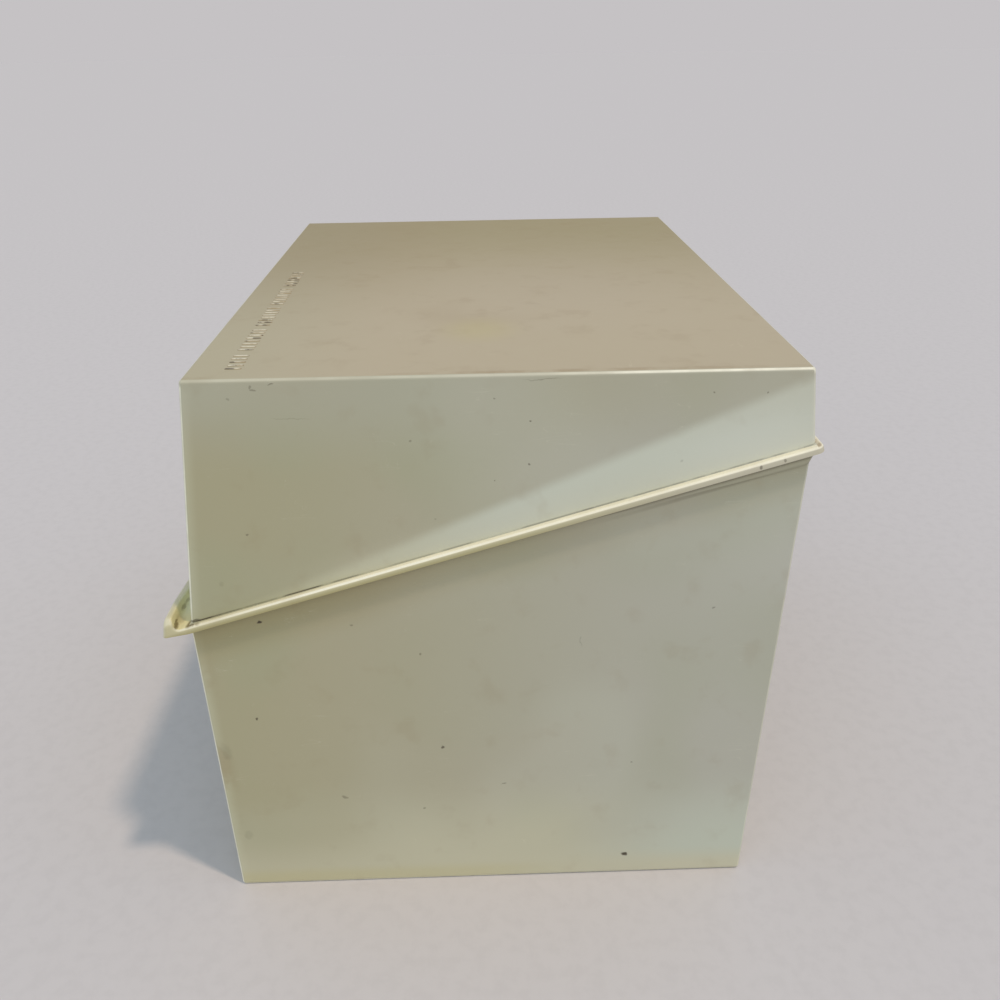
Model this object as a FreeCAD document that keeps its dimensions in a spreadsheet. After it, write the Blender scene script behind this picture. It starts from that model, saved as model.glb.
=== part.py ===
import FreeCAD, Part
import math
import os
import Sketcher
from FreeCAD import Placement, Rotation, Vector

# A moulded box for recipe cards. Its rim slopes up from the front to the hinge at the back.
# Lengths are in mm and angles in degrees. X runs along the box, the front faces -Y and Z is up.
# The rim frame (u, w) starts where the front walls cross the parting plane:
# u runs up the slope to the back, and w stands square to the parting plane.

SIZES = {
    # Overall form
    "overall_height": 94.0,
    "lid_top_depth": 92.6,
    "rim_length": 139.6,
    "rim_front_height": 52.8,
    "rim_slope": 16.1,
    # Drafts of the moulded walls
    "lid_front_draft": 4.6,
    "lid_back_draft": 5.2,
    "base_front_draft": 2.6,
    "base_back_draft": 3.4,
    "end_draft": 0.5,
    # Walls and their roundings
    "wall": 2.2,
    "base_floor": 2.2,
    "lid_roof": 2.2,
    "edge_radius": 0.6,
    "inner_radius": 1.6,
    # Rim: the lid sits on the base's rim, round an upstanding locating rib
    "rim_gap": 0.1,
    "rim_back_step": 0.6,
    "flange_thickness": 1.1,
    "flange_side": 1.25,
    "flange_back": 1.25,
    "flange_corner_radius": 1.2,
    "flange_edge_radius": 0.45,
    "rib_height": 3.0,
    "rib_root": 1.1,
    "rib_corner_radius": 1.0,
    "rib_clearance": 0.3,
    "rib_headroom": 0.5,
    # Lift lip along the front of the lid's flange, turned up at its outer edge and highest at its ends
    "lip_reach": 4.3,
    "lip_rise": 0.45,
    "lip_lean": 8.0,
    "lip_crest_width": 1.2,
    "lip_end_height": 2.15,
    "lip_height": 0.9,
    "lip_end_run": 6.5,
    "lip_ramp_run": 11.5,
    "lip_end_radius": 1.4,
    "lip_bend_radius": 8.0,
    "lip_outer_radius": 0.8,
    "scoop_radius": 0.8,
    # Stiffening band under the base's rim, which tapers away along both ends
    "band_proud": 0.5,
    "band_depth": 1.45,
    "band_run": 45.0,
    "band_corner_radius": 0.6,
    # Hinge stations at the back
    "hinge_spacing": 76.0,
    "barrel_length": 8.0,
    "ear_width": 3.0,
    "hinge_side_gap": 0.3,
    "knuckle_radius": 2.6,
    "knuckle_gap": 0.4,
    "ear_web_drop": 8.0,
    "arm_rise": 5.0,
    "pin_diameter": 2.0,
    "pin_play": 0.05,
    "pin_grip": 0.01,
    "pin_chamfer": 0.3,
    "open_angle": 105.0,
    "stop_gap": 0.3,
    "stop_width": 1.1,
    # Underside and moulding marks
    "foot_width": 6.0,
    "foot_height": 0.8,
    "gate_diameter": 3.0,
    "gate_height": 0.4,
    "ejector_diameter": 6.0,
    "ejector_depth": 0.2,
    "ejector_inset": 18.0,
}

# What follows from the sizes, each a formula in the sheet "worked"
WORKED = {
    "slope": "tan(size.rim_slope * 1deg)",
    "rise": "sin(size.rim_slope * 1deg)",
    "run": "cos(size.rim_slope * 1deg)",
    "lid_front_ratio": "tan(size.lid_front_draft * 1deg)",
    "lid_back_ratio": "tan(size.lid_back_draft * 1deg)",
    "base_front_ratio": "tan(size.base_front_draft * 1deg)",
    "base_back_ratio": "tan(size.base_back_draft * 1deg)",
    "end_ratio": "tan(size.end_draft * 1deg)",
    # Where the walls cross the parting plane
    "front_y": "-size.lid_top_depth / 2 - (size.overall_height - size.rim_front_height) * lid_front_ratio",
    "back_y": "(size.lid_top_depth / 2 + (size.overall_height - size.rim_front_height"
              " + slope * front_y) * lid_back_ratio) / (1 + slope * lid_back_ratio)",
    "back_z": "size.rim_front_height + slope * (back_y - front_y)",
    "base_back_y": "back_y - size.rim_back_step",
    "base_back_z": "size.rim_front_height + slope * (base_back_y - front_y)",
    "lid_run": "(back_y - front_y) / run",
    "base_run": "(base_back_y - front_y) / run",
    # The base's foot and floor
    "foot_front_y": "front_y + size.rim_front_height * base_front_ratio",
    "foot_back_y": "base_back_y - base_back_z * base_back_ratio",
    "foot_half": "size.rim_length / 2 - base_back_z * end_ratio",
    "floor_z": "size.foot_height + size.base_floor",
    # Leans of the walls away from w, towards the back
    "lid_front_lean": "tan((size.rim_slope + size.lid_front_draft) * 1deg)",
    "lid_back_tilt": "size.rim_slope - size.lid_back_draft",
    "lid_back_lean": "tan(lid_back_tilt * 1deg)",
    "base_back_lean": "tan((size.rim_slope + size.base_back_draft) * 1deg)",
    # The locating rib's outer faces on the parting plane
    "rib_front_u": "size.wall - size.rib_root",
    "rib_back_u": "base_run - size.wall + size.rib_root",
    "rib_half": "size.rim_length / 2 - size.wall + size.rib_root",
    "rebate_top": "size.rib_height + size.rib_headroom",
    # Flange and lip
    "flange_back_u": "lid_run + size.flange_back",
    "flange_half": "size.rim_length / 2 + size.flange_side",
    "flange_top": "size.rim_gap + size.flange_thickness",
    "lip_foot": "size.rim_gap + size.lip_rise",
    "lip_top": "flange_top + size.lip_end_height",
    "lip_face_lean": "tan((size.rim_slope + size.lip_lean) * 1deg)",
    "crest_front_u": "(lip_top - lip_foot) * lip_face_lean - size.lip_reach",
    "scoop_front_u": "crest_front_u + size.lip_crest_width",
    "scoop_back_u": "scoop_front_u + size.scoop_radius",
    "scoop_top": "flange_top + size.scoop_radius",
    # Hinge axis, on the parting plane behind the flange
    "hinge_u": "flange_back_u + size.knuckle_gap + size.knuckle_radius",
    "hinge_y": "front_y + hinge_u * run",
    "hinge_z": "size.rim_front_height + hinge_u * rise",
    "station_length": "size.barrel_length + 2 * size.hinge_side_gap + 2 * size.ear_width",
    "station_x": "size.hinge_spacing / 2",
    "ear_step": "size.barrel_length + 2 * size.hinge_side_gap + size.ear_width",
    # At the open angle the stop's side faces the flange's top and its tip faces the lid's back wall
    "stop_side": "flange_top + size.stop_gap",
    "stop_tip": "(hinge_u - lid_run) * cos(lid_back_tilt * 1deg) - size.stop_gap",
    "stop_turn": "size.open_angle - 90",
    "tip_angle": "180 - lid_back_tilt - size.open_angle",
    "stop_root_u": "hinge_u + stop_side / cos(stop_turn * 1deg)",
    "stop_top_u": "hinge_u + (stop_side * sin(tip_angle * 1deg) + stop_tip * sin(stop_turn * 1deg))"
                  " / cos(lid_back_tilt * 1deg)",
    "stop_top": "(stop_tip * cos(stop_turn * 1deg) - stop_side * cos(tip_angle * 1deg))"
                " / cos(lid_back_tilt * 1deg)",
    "stop_back_u": "stop_top_u + size.stop_width * sin(tip_angle * 1deg)",
    "stop_back_top": "stop_top - size.stop_width * cos(tip_angle * 1deg)",
    # The origin lies under the middle of everything from the lip to the hinge
    "front_reach": "front_y - size.lip_reach * run - lip_foot * rise",
    "back_reach": "hinge_y + size.knuckle_radius",
    "centre_y": "-(front_reach + back_reach) / 2",
}

NEAR = 0.01
ALONG_X = Vector(1, 0, 0)
ALONG_Z = Vector(0, 0, 1)


def make_sheet(doc, name, cells, mark=""):
    """One row for each size: its name beside its value."""
    sheet = doc.addObject("Spreadsheet::Sheet", name)
    for row, (alias, value) in enumerate(cells.items(), start=1):
        sheet.set("A%d" % row, alias)
        sheet.set("B%d" % row, mark + str(value))
        sheet.setAlias("B%d" % row, alias)
    doc.recompute()
    return sheet


def new_form(doc, label):
    """A body to be cut out of another or fused on, in the frame that the sizes are given in."""
    body = doc.addObject("PartDesign::Body", label)
    body.Label = label
    return body


def new_body(doc, label):
    """A body of one sub-part, moved so that the part's origin is under its middle."""
    body = new_form(doc, label)
    body.setExpression("Placement.Base.y", "worked.centre_y")
    return body


def attach(body, name, role, base, axis=None):
    """A sketch on one of the body's origin planes, moved by base and turned to the rim's slope."""
    sketch = body.newObject("Sketcher::SketchObject", name)
    plane = next(f for f in body.Origin.OriginFeatures if f.Role == role)
    sketch.AttachmentSupport = [(plane, "")]
    sketch.MapMode = "FlatFace"
    if axis:
        sketch.AttachmentOffset = Placement(Vector(), Rotation(axis, SIZES["rim_slope"]))
        sketch.setExpression("AttachmentOffset.Rotation.Angle", "size.rim_slope * 1deg")
    for letter, offset in zip("xyz", base):
        if offset != "0":
            sketch.setExpression("AttachmentOffset.Base." + letter, offset)
    return sketch


def side_sketch(body, name):
    """Seen from the end, in (Y, Z)."""
    return attach(body, name, "YZ_Plane", ("0", "0", "0"))


def plan_sketch(body, name, z):
    """Seen from above, in (X, Y)."""
    return attach(body, name, "XY_Plane", ("0", "0", z))


def rim_side_sketch(body, name, x="0"):
    """Seen from the end, in (u, w)."""
    return attach(body, name, "YZ_Plane", ("worked.front_y", "size.rim_front_height", x), ALONG_Z)


def rim_front_sketch(body, name):
    """Seen along the slope from the front, in (X, w)."""
    return attach(body, name, "XZ_Plane", ("0", "size.rim_front_height", "-worked.front_y"), ALONG_X)


def rim_plan_sketch(body, name, w):
    """Seen square to the parting plane, in (X, u)."""
    base = ("0", "worked.front_y - %s * worked.rise" % w, "size.rim_front_height + %s * worked.run" % w)
    return attach(body, name, "XY_Plane", base, ALONG_X)


def number(sketch, expression):
    """What an expression is worth now."""
    return float(sketch.evalExpression(expression))


def bind(sketch, kind, at, expression, value):
    """Ties a point's distance from the sketch's origin to an expression."""
    if abs(value) < NEAR:
        axis = -2 if kind == "DistanceX" else -1
        sketch.addConstraint(Sketcher.Constraint("PointOnObject", at[0], at[1], axis))
        return
    index = sketch.addConstraint(Sketcher.Constraint(kind, -1, 1, at[0], at[1], value))
    sketch.setExpression("Constraints[%d]" % index, expression)


def outline(sketch, corners, hollow=None):
    """A closed outline through corners. hollow names a side and the radius of its round scoop."""
    points = [Vector(number(sketch, x), number(sketch, y), 0) for x, y in corners]
    first = sketch.GeometryCount
    ends = []
    for i, start in enumerate(points):
        end = points[(i + 1) % len(points)]
        if hollow and hollow[0] == i:
            centre = Vector(start.x, end.y, 0)
            circle = Part.Circle(centre, ALONG_Z, number(sketch, hollow[1]))
            sketch.addGeometry(Part.ArcOfCircle(circle, math.pi, 1.5 * math.pi), False)
            index = sketch.addConstraint(Sketcher.Constraint("Radius", first + i, circle.Radius))
            sketch.setExpression("Constraints[%d]" % index, hollow[1])
            ends.append((2, 1))
        else:
            sketch.addGeometry(Part.LineSegment(start, end), False)
            ends.append((1, 2))
    for i, (x, y) in enumerate(corners):
        after = (i + 1) % len(corners)
        join = (first + i, ends[i][1], first + after, ends[after][0])
        sketch.addConstraint(Sketcher.Constraint("Coincident", *join))
        bind(sketch, "DistanceX", (first + i, ends[i][0]), x, points[i].x)
        bind(sketch, "DistanceY", (first + i, ends[i][0]), y, points[i].y)
    return sketch


def rectangle(sketch, low, high):
    """A rectangle between two corners."""
    return outline(sketch, [low, (high[0], low[1]), high, (low[0], high[1])])


def circle(sketch, x, y, radius):
    """A circle about a point."""
    centre = Vector(number(sketch, x), number(sketch, y), 0)
    geometry = sketch.addGeometry(Part.Circle(centre, ALONG_Z, number(sketch, radius)), False)
    bind(sketch, "DistanceX", (geometry, 3), x, centre.x)
    bind(sketch, "DistanceY", (geometry, 3), y, centre.y)
    index = sketch.addConstraint(Sketcher.Constraint("Radius", geometry, number(sketch, radius)))
    sketch.setExpression("Constraints[%d]" % index, radius)
    return sketch


def extrude(body, kind, name, sketch, length, both, reverse):
    """A pad or pocket of one sketch. A pocket has to take something away."""
    before = body.Shape.Volume if kind == "Pocket" else 0
    feature = body.newObject("PartDesign::" + kind, name)
    feature.Profile = sketch
    feature.setExpression("Length", length)
    feature.SideType = "Symmetric" if both else "One side"
    feature.Reversed = reverse
    body.Document.recompute()
    if kind == "Pocket" and not feature.Shape.Volume < before:
        raise RuntimeError("%s cuts nothing" % name)
    return feature


def pad(body, name, sketch, length, both=True, reverse=False):
    """Adds material, to both sides of the sketch unless told otherwise."""
    return extrude(body, "Pad", name, sketch, length, both, reverse)


def pocket(body, name, sketch, length, both=True, reverse=False):
    """Takes material away, to both sides of the sketch unless told otherwise."""
    return extrude(body, "Pocket", name, sketch, length, both, reverse)


def rim_place(doc, point):
    """A point's (u, w) in the rim frame."""
    sheet = doc.getObject("worked")
    dy = point.y - sheet.front_y
    dz = point.z - SIZES["rim_front_height"]
    return dy * sheet.run + dz * sheet.rise, dz * sheet.run - dy * sheet.rise


def upright(doc, ends):
    """Whether an edge rises from the rim plane more than it runs along it."""
    low, high = rim_place(doc, ends[0]), rim_place(doc, ends[-1])
    return abs(high[1] - low[1]) > max(NEAR, abs(high[0] - low[0]))


def round_edges(body, name, radius, wanted):
    """Rounds the body's edges whose end points are all wanted."""
    base = body.Tip
    names = []
    for i, edge in enumerate(base.Shape.Edges, start=1):
        if wanted([v.Point for v in edge.Vertexes]):
            names.append("Edge%d" % i)
    fillet = body.newObject("PartDesign::Fillet", name)
    fillet.Base = (base, names)
    fillet.setExpression("Radius", radius)
    body.Document.recompute()
    return fillet


def mirror_ends(body, name, features):
    """Repeats features at the other end of the box."""
    mirrored = body.newObject("PartDesign::Mirrored", name)
    mirrored.Originals = features
    plane = next(f for f in body.Origin.OriginFeatures if f.Role == "YZ_Plane")
    mirrored.MirrorPlane = (plane, [""])
    body.Tip = mirrored
    body.Document.recompute()
    return mirrored


def taper_ends(body, name, half, ratio):
    """Drafts both end walls: half is a wall's place on the parting plane, ratio its lean with w."""
    reach = "size.overall_height * 2"
    sketch = rim_front_sketch(body, name + "_sketch")
    for side in ("", "-"):
        outline(sketch, [
            ("%s(%s + %s * %s)" % (side, half, ratio, reach), reach),
            ("%s(%s) * 2" % (side, half), reach),
            ("%s(%s) * 2" % (side, half), "-" + reach),
            ("%s(%s - %s * %s)" % (side, half, ratio, reach), "-" + reach),
        ])
    return pocket(body, name, sketch, reach + " * 2")


def base_front_inside(z):
    """Where the base's inner front face is at height z."""
    skin = "size.wall / cos(size.base_front_draft * 1deg)"
    return "worked.front_y + %s + (size.rim_front_height - %s) * worked.base_front_ratio" % (skin, z)


def base_back_inside(z):
    """Where the base's inner back face is at height z."""
    skin = "size.wall / cos(size.base_back_draft * 1deg)"
    return "worked.base_back_y - %s - (worked.base_back_z - %s) * worked.base_back_ratio" % (skin, z)


def lid_front_inside(z):
    """Where the lid's inner front face is at height z."""
    skin = "size.wall / cos(size.lid_front_draft * 1deg)"
    return "worked.front_y + %s + (%s - size.rim_front_height) * worked.lid_front_ratio" % (skin, z)


def lid_back_inside(z):
    """Where the lid's inner back face is at height z."""
    skin = "size.wall / cos(size.lid_back_draft * 1deg)"
    return "worked.back_y - %s - (%s - worked.back_z) * worked.lid_back_ratio" % (skin, z)


def core(doc, label, front, back, closed_z, open_z, ratio):
    """The form of a shell's hollow, rounded everywhere but at its open side."""
    body = new_form(doc, label)
    sketch = outline(side_sketch(body, label + "_profile"), [
        (front(closed_z), closed_z),
        (back(closed_z), closed_z),
        (back(open_z), open_z),
        (front(open_z), open_z),
    ])
    pad(body, label + "_block", sketch, "size.rim_length")
    taper_ends(body, label + "_ends", "(size.rim_length / 2 - size.wall)", ratio)
    level = number(sketch, open_z)
    round_edges(body, label + "_rounding", "size.inner_radius",
                lambda ends: any(abs(p.z - level) > NEAR for p in ends))
    return body


def combine(body, name, kind, tool):
    """Cuts another body's form out of this one, or fuses it on."""
    result = body.newObject("PartDesign::Boolean", name)
    result.Type = kind
    result.setObjects([tool])
    body.Document.recompute()
    return result


def rim_form(doc, label, clearance, low, high, radius):
    """A block on the rim whose faces lie clearance outside the rib's, parallel to the lid's walls."""
    body = new_form(doc, label)
    front = "worked.rib_front_u - %s + %s * worked.lid_front_lean"
    back = "worked.rib_back_u + %s + %s * worked.lid_back_lean"
    sketch = outline(rim_side_sketch(body, label + "_profile"), [
        (front % (clearance, low), low),
        (back % (clearance, low), low),
        (back % (clearance, high), high),
        (front % (clearance, high), high),
    ])
    pad(body, label + "_block", sketch, "(worked.rib_half + %s) * 2" % clearance)
    round_edges(body, label + "_corners", radius, lambda ends: upright(doc, ends))
    return body


def base_shell(body):
    """The drafted outside of the base, up to the parting plane."""
    sketch = outline(side_sketch(body, "base_profile"), [
        ("worked.foot_front_y", "0"),
        ("worked.foot_back_y", "0"),
        ("worked.base_back_y", "worked.base_back_z"),
        ("worked.front_y", "size.rim_front_height"),
    ])
    pad(body, "base_block", sketch, "size.rim_length")
    taper_ends(body, "base_ends", "(size.rim_length / 2)", "worked.end_ratio")
    round_edges(body, "base_edges", "size.edge_radius", lambda ends: any(p.z < NEAR for p in ends))


def stiffening_band(doc):
    """A wedge under the rim, across the back and tapering away along both ends, its foot in the wall."""
    body = new_form(doc, "band_form")
    back = "worked.base_run + size.band_proud"
    foot = "worked.base_run - size.band_proud / 2 - size.band_depth * worked.base_back_lean"
    sketch = outline(rim_side_sketch(body, "band_profile"), [
        (back + " - size.band_run", "0"),
        (back, "0"),
        (foot, "-size.band_depth"),
    ])
    pad(body, "band_block", sketch, "size.rim_length + 2 * size.band_proud")
    low = number(sketch, "-size.band_depth")
    round_edges(body, "band_corners", "size.band_corner_radius",
                lambda ends: abs(ends[0].x - ends[-1].x) < NEAR
                and min(rim_place(doc, p)[1] for p in ends) < low + NEAR
                and ends[0].distanceToPoint(ends[-1]) < SIZES["band_run"] / 2)
    return body


def hinge_ear(body, number_of_ear, x):
    """One ear: a round knuckle, a web down the back wall, and the stop for the open lid."""
    tag = str(number_of_ear)
    wall_u = "worked.base_run - size.wall / 2"
    knuckle = circle(rim_side_sketch(body, "ear_round_sketch" + tag, x),
                     "worked.hinge_u", "0", "size.knuckle_radius")
    made = [pad(body, "ear_round" + tag, knuckle, "size.ear_width")]
    web = outline(rim_side_sketch(body, "ear_web_sketch" + tag, x), [
        ("worked.hinge_u", "0"),
        (wall_u, "0"),
        (wall_u + " - size.ear_web_drop * worked.base_back_lean", "-size.ear_web_drop"),
        ("worked.hinge_u + size.knuckle_radius * sin(45deg)", "-size.knuckle_radius * cos(45deg)"),
    ])
    made.append(pad(body, "ear_web" + tag, web, "size.ear_width"))
    stop = outline(rim_side_sketch(body, "ear_stop_sketch" + tag, x), [
        ("worked.stop_root_u", "0"),
        ("worked.hinge_u + size.knuckle_radius", "0"),
        ("worked.stop_back_u", "worked.stop_back_top"),
        ("worked.stop_top_u", "worked.stop_top"),
    ])
    made.append(pad(body, "ear_stop" + tag, stop, "size.ear_width"))
    return made


def hinge_ears(body):
    """Two ears at each hinge station, bored for a pin that grips in them."""
    made = []
    for i, side in enumerate(("-", "+"), start=1):
        made += hinge_ear(body, i, "worked.station_x %s worked.ear_step / 2" % side)
    bore = circle(rim_side_sketch(body, "ear_bore_sketch", "worked.station_x"),
                  "worked.hinge_u", "0", "size.pin_diameter / 2 - size.pin_grip")
    made.append(pocket(body, "ear_bores", bore, "worked.station_length"))
    mirror_ends(body, "ears_at_both_stations", made)


def underside(body):
    """A shallow recess that leaves a rim to stand on, with the gate's mark at its middle."""
    inset = "size.foot_width"
    recess = rectangle(plan_sketch(body, "foot_recess_sketch", "0"),
                       ("%s - worked.foot_half" % inset, "worked.foot_front_y + %s" % inset),
                       ("worked.foot_half - %s" % inset, "worked.foot_back_y - %s" % inset))
    pocket(body, "foot_recess", recess, "size.foot_height", both=False, reverse=True)
    middle = "(worked.foot_front_y + worked.foot_back_y) / 2"
    gate = circle(plan_sketch(body, "gate_sketch", "size.foot_height - size.gate_height"),
                  "0", middle, "size.gate_diameter / 2")
    pad(body, "gate_mark", gate, "size.gate_height * 2", both=False)


def ejector_marks(body):
    """Shallow round marks in the corners of the floor inside."""
    x = "worked.foot_half - size.ejector_inset"
    sketch = plan_sketch(body, "ejector_sketch", "worked.floor_z - size.ejector_depth")
    for side in ("", "-"):
        for y in ("worked.foot_front_y + size.ejector_inset", "worked.foot_back_y - size.ejector_inset"):
            circle(sketch, "%s(%s)" % (side, x), y, "size.ejector_diameter / 2")
    pocket(body, "ejector_marks", sketch, "size.ejector_depth * 2", both=False, reverse=True)


def base_tub(doc):
    """The lower shell."""
    hollow = core(doc, "base_core", base_front_inside, base_back_inside,
                  "worked.floor_z", "size.overall_height", "worked.end_ratio")
    rib = rim_form(doc, "rib_form", "0", "-size.rib_root", "size.rib_height", "size.rib_corner_radius")
    band = stiffening_band(doc)
    body = new_body(doc, "base_tub")
    base_shell(body)
    combine(body, "locating_rib", "Fuse", rib)
    combine(body, "stiffening_band", "Fuse", band)
    hinge_ears(body)
    underside(body)
    combine(body, "base_hollow", "Cut", hollow)
    ejector_marks(body)
    return body


def lid_shell(body):
    """The drafted outside of the lid, trimmed to sit a hair above the parting plane."""
    top = "size.overall_height"
    sketch = outline(side_sketch(body, "lid_profile"), [
        ("worked.front_y", "size.rim_front_height"),
        ("worked.back_y", "worked.back_z"),
        ("size.lid_top_depth / 2", top),
        ("-size.lid_top_depth / 2", top),
    ])
    pad(body, "lid_block", sketch, "size.rim_length")
    taper_ends(body, "lid_ends", "(size.rim_length / 2)", "-worked.end_ratio")
    level = SIZES["overall_height"] - NEAR
    round_edges(body, "lid_edges", "size.edge_radius", lambda ends: any(p.z > level for p in ends))
    reach = "size.overall_height * 2"
    seat = rectangle(rim_side_sketch(body, "seat_sketch"),
                     ("-" + reach, "-" + reach), (reach, "size.rim_gap"))
    pocket(body, "lid_seat", seat, "size.rim_length * 2")


def crosses_lip(doc, ends, low):
    """Whether an edge above low runs across the lip, from its front to its scoop."""
    start, end = rim_place(doc, ends[0]), rim_place(doc, ends[-1])
    level = abs(ends[0].x - ends[-1].x) < NEAR
    return level and min(start[1], end[1]) > low and abs(start[0] - end[0]) > NEAR


def on_lip_face(doc, point):
    """Whether a point lies on the lip's outer face, which leans back from upright."""
    sheet = doc.getObject("worked")
    u, w = rim_place(doc, point)
    return abs(u + SIZES["lip_reach"] - (w - sheet.lip_foot) * sheet.lip_face_lean) < NEAR


def lift_lip(doc):
    """The lip before the lid's front wall: a rounded crest, high at both ends, with a scoop behind."""
    body = new_form(doc, "lip_form")
    section = outline(rim_side_sketch(body, "lip_sketch"), [
        ("-size.lip_reach", "worked.lip_foot"),
        ("0", "size.rim_gap"),
        ("0", "worked.flange_top"),
        ("worked.scoop_back_u", "worked.flange_top"),
        ("worked.scoop_front_u", "worked.scoop_top"),
        ("worked.scoop_front_u", "worked.lip_top"),
        ("worked.crest_front_u", "worked.lip_top"),
    ], hollow=(3, "size.scoop_radius"))
    pad(body, "lip_bar", section, "worked.flange_half * 2")
    high_end = "(worked.flange_half - size.lip_end_run)"
    ramp_foot = "(worked.flange_half - size.lip_end_run - size.lip_ramp_run)"
    relief = outline(rim_front_sketch(body, "lip_relief_sketch"), [
        ("-" + ramp_foot, "worked.flange_top + size.lip_height"),
        (ramp_foot, "worked.flange_top + size.lip_height"),
        (high_end, "worked.lip_top"),
        ("-" + high_end, "worked.lip_top"),
    ])
    pocket(body, "lip_relief", relief, "size.lip_reach * 2", both=False, reverse=True)
    sheet = doc.getObject("worked")
    inside = sheet.flange_half - NEAR
    round_edges(body, "lip_bends", "size.lip_bend_radius",
                lambda ends: crosses_lip(doc, ends, sheet.scoop_top) and abs(ends[0].x) < inside)
    round_edges(body, "lip_ends", "size.lip_end_radius",
                lambda ends: crosses_lip(doc, ends, sheet.scoop_top) and abs(ends[0].x) > inside)
    round_edges(body, "lip_outer_edge", "size.lip_outer_radius",
                lambda ends: all(on_lip_face(doc, p) for p in ends)
                and any(rim_place(doc, p)[1] > sheet.flange_top for p in ends))
    round_edges(body, "lip_inner_edge", "size.flange_edge_radius",
                lambda ends: all(abs(rim_place(doc, p)[0] - sheet.scoop_front_u) < NEAR for p in ends)
                and any(rim_place(doc, p)[1] > sheet.scoop_top + NEAR for p in ends))
    return body


def flange(doc):
    """The flange round the lid's rim, with the lift lip along its front."""
    lip = lift_lip(doc)
    body = new_form(doc, "flange_form")
    plate = rectangle(rim_plan_sketch(body, "flange_sketch", "size.rim_gap"),
                      ("-worked.flange_half", "0"), ("worked.flange_half", "worked.flange_back_u"))
    pad(body, "flange_plate", plate, "size.flange_thickness", both=False)
    round_edges(body, "flange_corners", "size.flange_corner_radius",
                lambda ends: upright(doc, ends) and rim_place(doc, ends[0])[0] > NEAR)
    top = doc.getObject("worked").flange_top - NEAR
    round_edges(body, "flange_top_edges", "size.flange_edge_radius",
                lambda ends: all(rim_place(doc, p)[1] > top for p in ends)
                and any(rim_place(doc, p)[0] > NEAR for p in ends))
    combine(body, "lift_lip", "Fuse", lip)
    return body


def hinge_barrels(body):
    """One barrel at each hinge station, on an arm from the lid's back wall, free on its pin."""
    x = "worked.station_x"
    barrel = circle(rim_side_sketch(body, "barrel_sketch", x),
                    "worked.hinge_u", "0", "size.knuckle_radius")
    made = [pad(body, "barrel", barrel, "size.barrel_length")]
    wall_u = "worked.lid_run - size.wall / 2"
    arm = outline(rim_side_sketch(body, "arm_sketch", x), [
        (wall_u, "size.rim_gap"),
        ("worked.hinge_u", "size.rim_gap"),
        ("worked.hinge_u + size.knuckle_radius * sin(30deg)", "size.knuckle_radius * cos(30deg)"),
        (wall_u + " + size.arm_rise * worked.lid_back_lean", "size.arm_rise"),
    ])
    made.append(pad(body, "barrel_arm", arm, "size.barrel_length"))
    bore = circle(rim_side_sketch(body, "barrel_bore_sketch", x), "worked.hinge_u", "0",
                  "size.pin_diameter / 2 + size.pin_play")
    made.append(pocket(body, "barrel_bore", bore, "size.barrel_length * 2"))
    mirror_ends(body, "barrels_at_both_stations", made)


def lid(doc):
    """The upper shell."""
    hollow = core(doc, "lid_core", lid_front_inside, lid_back_inside,
                  "(size.overall_height - size.lid_roof)", "(size.rim_front_height / 2)",
                  "-worked.end_ratio")
    rim = flange(doc)
    rebate = rim_form(doc, "rebate_form", "size.rib_clearance", "-size.rib_root", "worked.rebate_top",
                      "size.rib_corner_radius + size.rib_clearance")
    body = new_body(doc, "lid")
    lid_shell(body)
    combine(body, "lid_flange", "Fuse", rim)
    hinge_barrels(body)
    combine(body, "lid_hollow", "Cut", hollow)
    combine(body, "rim_rebate", "Cut", rebate)
    return body


def hinge_pin(doc, label, x):
    """A steel pin with chamfered ends, flush with the ears' outer faces."""
    body = new_body(doc, label)
    section = circle(rim_side_sketch(body, label + "_sketch", x),
                     "worked.hinge_u", "0", "size.pin_diameter / 2")
    rod = pad(body, label + "_rod", section, "worked.station_length")
    ends = ["Edge%d" % i for i, edge in enumerate(rod.Shape.Edges, start=1) if len(edge.Vertexes) == 1]
    chamfer = body.newObject("PartDesign::Chamfer", label + "_chamfer")
    chamfer.Base = (rod, ends)
    chamfer.setExpression("Size", "size.pin_chamfer")
    doc.recompute()
    return body


def check(doc, bodies):
    """Stops if any object failed or any body isn't one sound solid."""
    for item in doc.Objects:
        if "Invalid" in item.State or "Error" in item.State:
            raise RuntimeError("%s failed: %s" % (item.Name, item.State))
    for body in bodies:
        shape = body.Shape
        if shape.isNull() or not shape.isValid() or len(shape.Solids) != 1:
            raise RuntimeError("%s isn't one sound solid" % body.Label)


def main():
    doc = FreeCAD.newDocument("recipe_box")
    make_sheet(doc, "size", SIZES)
    sheet = make_sheet(doc, "worked", WORKED, "=")
    bodies = [
        base_tub(doc),
        lid(doc),
        hinge_pin(doc, "left_hinge_pin", "-worked.station_x"),
        hinge_pin(doc, "right_hinge_pin", "worked.station_x"),
    ]
    doc.recompute()
    check(doc, bodies)
    os.makedirs("parts", exist_ok=True)
    for body in bodies:
        body.Shape.exportStep("parts/%s.step" % body.Label)
        box = body.Shape.BoundBox
        print("%s: %.1f mm3, x %.2f..%.2f, y %.2f..%.2f, z %.2f..%.2f" % (
            body.Label, body.Shape.Volume, box.XMin, box.XMax, box.YMin, box.YMax, box.ZMin, box.ZMax))
    print("hinge axis at y %.3f, z %.3f" % (sheet.hinge_y + sheet.centre_y, sheet.hinge_z))


main()
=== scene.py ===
import math
import random

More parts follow.
